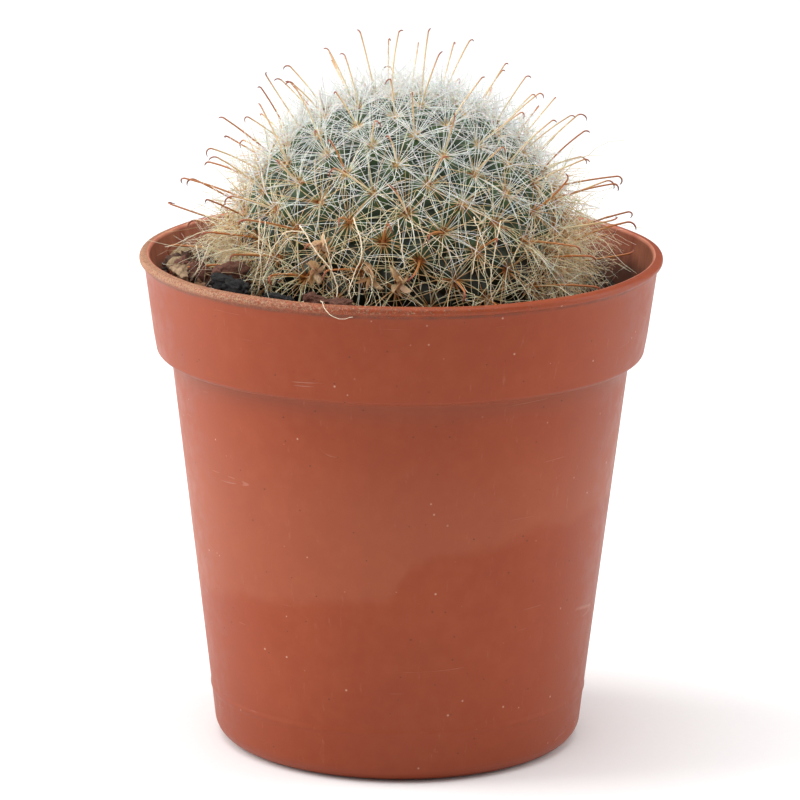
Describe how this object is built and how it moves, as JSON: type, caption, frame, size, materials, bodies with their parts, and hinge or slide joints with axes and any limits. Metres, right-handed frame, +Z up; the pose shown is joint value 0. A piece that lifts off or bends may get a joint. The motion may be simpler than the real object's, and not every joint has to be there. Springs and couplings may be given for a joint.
{
  "type": "potted round cactus",
  "caption": "Round hook-spined cactus with a coat of fine pale hair, growing in a tapered plastic nursery pot with a banded rim.",
  "frame": {"origin": "centre of the circle on which the pot's foot rests, on the surface that it stands on", "axes": "+Z up along the pot's axis, -Y towards the side that was pictured, +X to that side's right"},
  "size_m": [0.09, 0.09, 0.1252],
  "materials": {
    "pot_plastic": "terracotta-coloured moulded plastic, satin, scuffed, with a pale crust on the lip",
    "peat_soil": null,
    "stem_skin": null,
    "spine_horn": null,
    "charcoal": "black charred bark, rough",
    "bark": "red-brown bark, rough",
    "pale_stone": "tan grit, matt",
    "dry_husk": "papery dried flower"
  },
  "bodies": {
    "root": {"nursery_pot": "pot_plastic", "potting_soil": "peat_soil", "cactus_stem": "stem_skin", "spine_cluster_01": "spine_horn", "spine_cluster_02": "spine_horn", "spine_cluster_03": "spine_horn", "spine_cluster_04": "spine_horn", "spine_cluster_05": "spine_horn", "spine_cluster_06": "spine_horn", "spine_cluster_07": "spine_horn", "spine_cluster_08": "spine_horn", "spine_cluster_09": "spine_horn", "spine_cluster_10": "spine_horn", "spine_cluster_11": "spine_horn", "spine_cluster_12": "spine_horn", "spine_cluster_13": "spine_horn", "spine_cluster_14": "spine_horn", "spine_cluster_15": "spine_horn", "spine_cluster_16": "spine_horn", "spine_cluster_17": "spine_horn", "spine_cluster_18": "spine_horn", "spine_cluster_19": "spine_horn", "spine_cluster_20": "spine_horn", "spine_cluster_21": "spine_horn", "spine_cluster_22": "spine_horn", "spine_cluster_23": "spine_horn", "spine_cluster_24": "spine_horn", "spine_cluster_25": "spine_horn", "spine_cluster_26": "spine_horn", "spine_cluster_27": "spine_horn", "spine_cluster_28": "spine_horn", "spine_cluster_29": "spine_horn", "spine_cluster_30": "spine_horn", "spine_cluster_31": "spine_horn", "spine_cluster_32": "spine_horn", "spine_cluster_33": "spine_horn", "spine_cluster_34": "spine_horn", "spine_cluster_35": "spine_horn", "spine_cluster_36": "spine_horn", "spine_cluster_37": "spine_horn", "spine_cluster_38": "spine_horn", "spine_cluster_39": "spine_horn", "spine_cluster_40": "spine_horn", "spine_cluster_41": "spine_horn", "spine_cluster_42": "spine_horn", "spine_cluster_43": "spine_horn", "spine_cluster_44": "spine_horn", "spine_cluster_45": "spine_horn", "charcoal_chip": "charcoal", "charcoal_sliver": "charcoal", "red_bark_chip": "bark", "bark_flake": "bark", "bark_crumb": "bark", "pale_pebble": "pale_stone", "back_pebble": "pale_stone", "rolled_husk": "dry_husk", "dry_flower_1": "dry_husk", "dry_flower_2": "dry_husk", "dry_flower_3": "dry_husk", "dry_flower_4": "dry_husk"}
  },
  "joints": []
}
